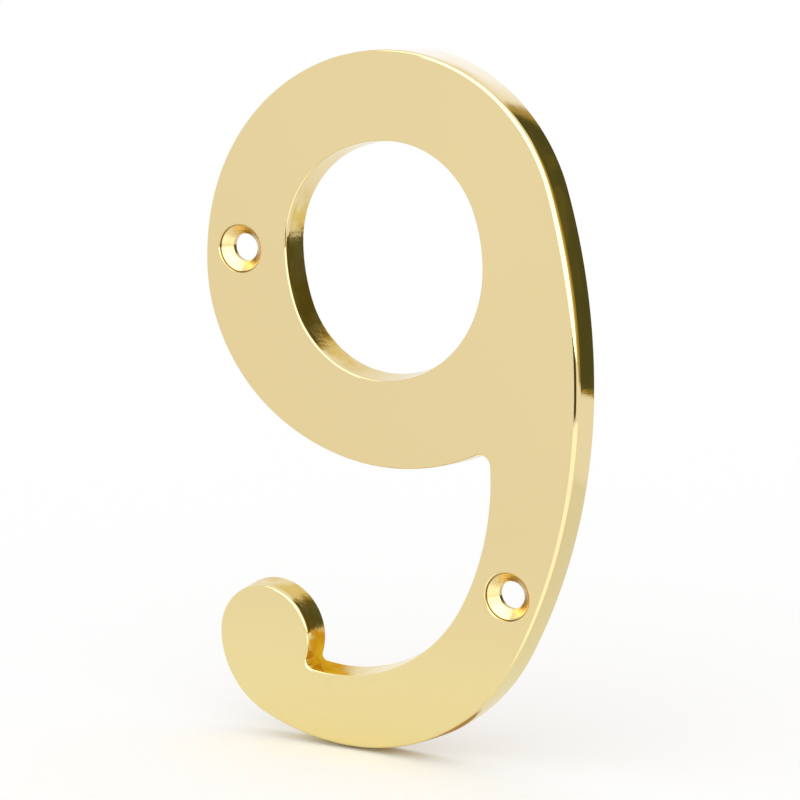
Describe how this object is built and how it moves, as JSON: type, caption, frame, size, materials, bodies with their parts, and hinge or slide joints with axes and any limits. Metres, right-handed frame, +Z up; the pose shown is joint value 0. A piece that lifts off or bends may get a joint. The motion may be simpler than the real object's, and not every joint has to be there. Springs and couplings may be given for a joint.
{
  "type": "door number",
  "caption": "Flat cast brass door numeral in the shape of the digit nine, with countersunk screw holes through its face for fixing to a door or wall.",
  "frame": {"origin": "middle of the width and height, on the flat back face", "axes": "+Z up the upright numeral, +X to its right as it is read, and -Y out of its polished front towards the reader"},
  "size_m": [0.0608, 0.0042, 0.1016],
  "materials": {
    "brass": "polished"
  },
  "bodies": {
    "root": {"numeral_nine": "brass"}
  },
  "joints": []
}
